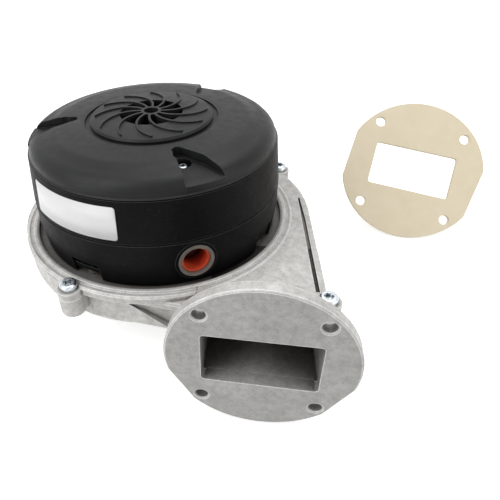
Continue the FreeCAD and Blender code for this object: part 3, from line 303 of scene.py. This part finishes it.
    def bump(self, height, depth, strength):
        """Adds relief of this depth."""
        node = self.nodes.new("ShaderNodeBump")
        node.inputs["Strength"].default_value = strength
        node.inputs["Distance"].default_value = depth / MM_PER_M
        self.links.new(height, node.inputs["Height"])
        if self.normal is not None:
            self.links.new(self.normal, node.inputs["Normal"])
        self.normal = node.outputs["Normal"]

    def shade(self, distance):
        """Ambient shade within this distance: 1 in the open, 0 deep in a recess."""
        node = self.nodes.new("ShaderNodeAmbientOcclusion")
        node.samples = SHADE_SAMPLES
        node.inputs["Distance"].default_value = distance / MM_PER_M
        return node.outputs["AO"]

    def recess(self, base, distance, deep, clear, colour):
        """Turns the base to a colour where the ambient shade falls from clear to deep."""
        return self.mix(self.spread(self.shade(distance), deep, clear), colour, base)

    def finish(self, colour, roughness):
        """Links the colour, the roughness and the relief."""
        self.links.new(colour, self.shader.inputs["Base Color"])
        self.links.new(roughness, self.shader.inputs["Roughness"])
        self.links.new(self.normal, self.shader.inputs["Normal"])
        return self.material


def cast_aluminium():
    """Die-cast skin: mottling, sand, a darker flange face, painted shade in crevices, bolt holes,
    the tray and deep in the duct, and painted highlights on outer edges.
    """
    look = Look("cast_aluminium", 0.5, metallic=0.18, specular=0.25)
    cloud = look.spread(look.noise(17, 5, 0.6), 0.36, 0.64)
    mottle = look.spread(look.noise(4.0, 7, 0.78), 0.41, 0.61)
    sand = look.spread(look.noise(0.75, 2, 0.5), 0.35, 0.7)
    base = look.mix(cloud, (0.54, 0.53, 0.51), (0.67, 0.66, 0.64))
    base = look.coat(base, mottle, 0.66, (0.34, 0.33, 0.31))
    base = look.coat(base, sand, 0.35, (0.74, 0.735, 0.715))
    # A darker tone on the flange's front face.
    face = look.near(look.place("Y"), FLANGE_FACE_Y, FLANGE_FACE_BAND)
    base = look.coat(base, face, 0.42, (0.17, 0.17, 0.168))
    # Painted shade: darker in fine crevices, and darker still deep in recesses and holes, by
    # ambient shade.
    base = look.recess(base, 1.8, deep=0.45, clear=0.95, colour=(0.22, 0.20, 0.175))
    base = look.recess(base, 9, deep=0.12, clear=0.60, colour=(0.085, 0.078, 0.068))
    # Painted shade inside the flange's bolt holes, darker deeper in.
    bores = look.near(look.place("Y"), FLANGE_BORES_Y, FLANGE_BORES_BAND)
    painted_bore_shade = look.spread(look.shade(9), 0.72, 0.34, 0.0, 0.72)
    base = look.coat(base, bores, painted_bore_shade, (0.055, 0.050, 0.044))
    # Painted shade on the tray floor inside the rim round the motor.
    low = look.near(look.place("Z"), TRAY_Z, TRAY_BAND)
    inside = look.spread(look.reach(), TRAY_R, TRAY_R + TRAY_EDGE, 0.72, 0.0)
    base = look.coat(base, low, inside, (0.080, 0.073, 0.065))
    # Painted shade deep inside the duct, near black where the ambient shade is deepest.
    painted_duct_shade = look.spread(look.shade(36), 0.90, 0.42, 0.0, 0.975)
    for axis, centre, half in zip("XYZ", DUCT_CENTRE, DUCT_HALF):
        painted_duct_shade = look.math("MULTIPLY", painted_duct_shade, look.near(look.place(axis), centre, half))
    base = look.mix(painted_duct_shade, base, (0.015, 0.012, 0.010))
    # Painted highlight: pale lines along outer edges, uneven in strength.
    highlight_patchiness = look.spread(look.noise(3, 3), 0.3, 0.6, 0.6, 1.0)
    base = look.coat(base, look.edge(0.75), highlight_patchiness, (0.93, 0.925, 0.91))
    look.soft_edges(0.5)
    look.bump(look.noise(5, 4, 0.6), 0.18, 0.6)
    look.bump(look.noise(0.9, 3, 0.6), 0.10, 0.9)
    return look.finish(base, look.uneven(4, 4, 0.42, 0.6))


def plain_metal(name, dark, pale, rough, turned=False):
    """Bright metal with small differences of tone and gloss, in fine rings where it is turned, and
    painted shade in crevices.
    """
    look = Look(name, rough[0], metallic=1.0)
    stretch = (1, 1, 14) if turned else (1, 1, 1)
    base = look.mix(look.spread(look.noise(2.2, 4, 0.6, stretch), *NOISE_SPAN), dark, pale)
    # Painted shade: darker in crevices.
    base = look.recess(base, 1.6, deep=0.2, clear=0.8, colour=dimmed(dark, 0.25))
    look.soft_edges(0.2)
    look.bump(look.noise(0.8, 3, 0.6, stretch), 0.02, 0.5)
    return look.finish(base, look.uneven(1.5, 3, *rough))


def moulded_plastic(name, dark, pale, rough, grain, speck_and_edge_highlight, edge_highlight_share, specular=0.5, folds=0.0):
    """Injection-moulded plastic: fine spark grain, faint haze, random pale specks, painted shade
    in recesses and a painted highlight on outer edges.
    """
    look = Look(name, rough, specular=specular)
    haze = look.spread(look.noise(22, 5, 0.6), 0.35, 0.65)
    speck = look.spread(look.noise(1.1, 2, 0.5), 0.62, 0.75)
    base = look.mix(haze, dark, pale)
    base = look.coat(base, speck, 0.10, speck_and_edge_highlight)
    # Painted shade: darker in recesses.
    base = look.recess(base, 5, deep=0.25, clear=0.92, colour=dimmed(dark, 0.2))
    # Painted highlight along outer edges.
    base = look.coat(base, look.edge(0.35), edge_highlight_share, speck_and_edge_highlight)
    look.soft_edges(0.45)
    if folds:
        look.soft_folds(folds)
    size, depth = grain
    look.bump(look.grain(size), depth, 0.6)
    look.bump(look.noise(9, 3, 0.5), 0.05, 0.35)
    return look.finish(base, look.uneven(5, 4, rough - 0.05, rough + 0.07))


def rubber(name, dark, pale, rough, depths=None):
    """Matt elastomer with a slightly uneven tone, with painted shade in recesses and where a
    sleeve runs into the housing.
    """
    look = Look(name, rough)
    base = look.mix(look.spread(look.noise(7, 4, 0.6), *NOISE_SPAN), dark, pale)
    if depths:
        # Painted shade: the sleeve turns near black deeper inside the housing.
        east = look.math("MULTIPLY", look.place("X"), math.cos(SLEEVE_AZ))
        north = look.math("MULTIPLY", look.place("Y"), math.sin(SLEEVE_AZ))
        outward = look.spread(look.math("ADD", east, north), *depths)
        base = look.mix(outward, dimmed(dark, 0.03), base)
    # Painted shade: darker in recesses.
    base = look.recess(base, 3, deep=0.1, clear=0.8, colour=dimmed(dark, 0.55))
    look.soft_edges(0.3)
    look.bump(look.noise(0.6, 3, 0.6), 0.03, 0.5)
    return look.finish(base, look.uneven(3, 3, rough - 0.06, rough + 0.06))


def gasket_cream():
    """Cream fibre-filled gasket sheet: faint cloudiness, tiny flecks, paler edges and painted
    shade in recesses.
    """
    look = Look("gasket_cream", 0.55)
    cloud = look.spread(look.noise(12, 5, 0.6), *NOISE_SPAN)
    fleck = look.spread(look.noise(0.9, 2, 0.5), 0.66, 0.78)
    base = look.mix(cloud, (0.735, 0.64, 0.465), (0.78, 0.69, 0.515))
    base = look.coat(base, fleck, 0.25, (0.60, 0.49, 0.33))
    base = look.coat(base, look.edge(0.3), 0.5, (0.90, 0.84, 0.70))
    # Painted shade: darker in recesses.
    base = look.recess(base, 3, deep=0.1, clear=0.7, colour=(0.45, 0.36, 0.22))
    look.soft_edges(0.25)
    look.bump(look.noise(0.7, 3, 0.6), 0.02, 0.5)
    look.bump(look.noise(7, 3, 0.5), 0.08, 0.4)
    return look.finish(base, look.uneven(4, 3, 0.48, 0.62))


def label_foil():
    """Bare white foil."""
    look = Look("label_foil", 0.38)
    cloud = look.spread(look.noise(9, 4), *NOISE_SPAN)
    base = look.mix(cloud, (0.79, 0.79, 0.795), (0.82, 0.82, 0.82))
    look.bump(look.noise(2.5, 3), 0.008, 0.3)
    return look.finish(base, look.uneven(5, 3, 0.3, 0.42))


def paint_nodes():
    """Gives every node the look of its material slot."""
    looks = {"cast_aluminium": cast_aluminium(), "gasket_cream": gasket_cream()}
    for make, slots in ((plain_metal, METALS), (moulded_plastic, PLASTICS), (rubber, RUBBERS)):
        for slot, values in slots.items():
            looks[slot] = make(slot, **values)
    for part in frame["record"]["subparts"]:
        materials = frame["nodes"][part["node"]].data.materials
        materials.clear()
        materials.append(looks[part["material_slot"]])


def add_object(name, mesh):
    """Makes an object of the scene from a bmesh, which it frees."""
    data = bpy.data.meshes.new(name)
    mesh.to_mesh(data)
    mesh.free()
    thing = bpy.data.objects.new(name, data)
    bpy.context.scene.collection.objects.link(thing)
    return thing


def label_plate():
    """Bare label that follows the round of the middle ring, with rounded corners."""
    centre = math.radians(sum(LABEL_AZ) / 2)
    half = math.radians(LABEL_AZ[1] - LABEL_AZ[0]) / 2 * RING_FOOT_R
    low, high = LABEL_Z
    mesh = bmesh.new()
    grid = []
    for i in range(LABEL_COLUMNS + 1):
        along = half * math.sin((i / LABEL_COLUMNS - 0.5) * math.pi)
        past = max(0.0, abs(along) - (half - LABEL_CORNER))
        rise = math.sqrt(max(0.0, LABEL_CORNER**2 - past**2))
        bottom = low + LABEL_CORNER - rise
        top = high - LABEL_CORNER + rise
        angle = centre + along / RING_FOOT_R
        column = []
        for z in (bottom, (bottom + top) / 2, top):
            r = RING_FOOT_R - RING_TAPER * (z - RING_FOOT_Z) + LABEL_LIFT
            column.append(mesh.verts.new((r * math.cos(angle), r * math.sin(angle), z)))
        grid.append(column)
    for left, right in zip(grid, grid[1:]):
        for j in (0, 1):
            mesh.faces.new((left[j], right[j], right[j + 1], left[j + 1]))
    plate = add_object("bare_label", mesh)
    solid = plate.modifiers.new("thickness", "SOLIDIFY")
    solid.thickness = LABEL_THICKNESS
    solid.offset = -1.0
    for face in plate.data.polygons:
        face.use_smooth = True
    plate.data.materials.append(label_foil())
    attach(plate, "root")


def background_seen(nodes, links):
    """1 for rays that show the background itself, straight, through glass or in a reflection."""
    path = nodes.new("ShaderNodeLightPath")
    seen = path.outputs["Is Camera Ray"]
    for kind in ("Is Transmission Ray", "Is Glossy Ray"):
        either = nodes.new("ShaderNodeMath")
        either.operation = "MAXIMUM"
        links.new(seen, either.inputs[0])
        links.new(path.outputs[kind], either.inputs[1])
        seen = either.outputs[0]
    return seen


def stage_floor():
    """Pale floor that the fan and the gasket rest on."""
    mesh = bmesh.new()
    bmesh.ops.create_grid(mesh, x_segments=1, y_segments=1, size=FLOOR_HALF)
    floor = add_object("floor", mesh)
    normal = Vector((-REST_SLOPE_X, -REST_SLOPE_Y, 1.0))
    floor.rotation_euler = normal.to_track_quat("Z", "Y").to_euler()
    floor.location = (0, 0, REST_Z)
    material = bpy.data.materials.new("floor_pale")
    material.use_nodes = True
    nodes = material.node_tree.nodes
    links = material.node_tree.links
    shader = nodes["Principled BSDF"]
    shader.inputs["Base Color"].default_value = FLOOR_TONE
    shader.inputs["Roughness"].default_value = FLOOR_ROUGHNESS
    shader.inputs["Specular IOR Level"].default_value = 0.0
    glow = nodes.new("ShaderNodeEmission")
    glow.inputs["Color"].default_value = WHITE
    strength = nodes.new("ShaderNodeMath")
    strength.operation = "MULTIPLY"
    links.new(background_seen(nodes, links), strength.inputs[0])
    strength.inputs[1].default_value = FLOOR_GLOW
    links.new(strength.outputs[0], glow.inputs["Strength"])
    both = nodes.new("ShaderNodeAddShader")
    links.new(shader.outputs[0], both.inputs[0])
    links.new(glow.outputs[0], both.inputs[1])
    links.new(both.outputs[0], nodes["Material Output"].inputs["Surface"])
    floor.data.materials.append(material)


def world_light():
    """Even studio surround, white where it is seen directly or mirrored."""
    world = bpy.data.worlds.new("studio")
    bpy.context.scene.world = world
    world.use_nodes = True
    nodes = world.node_tree.nodes
    links = world.node_tree.links
    background = nodes["Background"]
    background.inputs["Color"].default_value = WHITE
    strength = nodes.new("ShaderNodeMapRange")
    links.new(background_seen(nodes, links), strength.inputs["Value"])
    strength.inputs["To Min"].default_value = SURROUND_LIGHT
    strength.inputs["To Max"].default_value = SURROUND_SEEN
    links.new(strength.outputs["Result"], background.inputs["Strength"])


def lamp(name, place, target, size, power):
    """A square soft box aimed at a point."""
    data = bpy.data.lights.new(name, "AREA")
    data.shape = "SQUARE"
    data.size = size
    data.energy = power
    light = bpy.data.objects.new(name, data)
    bpy.context.scene.collection.objects.link(light)
    light.location = place
    aim = Vector(target) - Vector(place)
    light.rotation_euler = aim.to_track_quat("-Z", "Y").to_euler()


def studio():
    """Floor, surround, lamps and view settings."""
    stage_floor()
    world_light()
    for name, values in LAMPS:
        lamp(name, **values)
    bpy.context.scene.view_settings.view_transform = "Standard"


def camera():
    """Camera at the photograph's angle."""
    data = bpy.data.cameras.new("view")
    data.sensor_width = SENSOR_WIDTH
    data.lens = LENS
    data.shift_x = SHIFT_X
    data.clip_start = CLIP_START
    data.clip_end = CLIP_END
    eye = bpy.data.objects.new("view", data)
    bpy.context.scene.collection.objects.link(eye)
    axes = (Vector(PICTURE_RIGHT), -Vector(PICTURE_DOWN), -Vector(PICTURE_AHEAD))
    eye.matrix_world = Matrix.Translation(EYE) @ Matrix(axes).transposed().to_4x4()
    bpy.context.scene.camera = eye


paint_nodes()
label_plate()
studio()
camera()
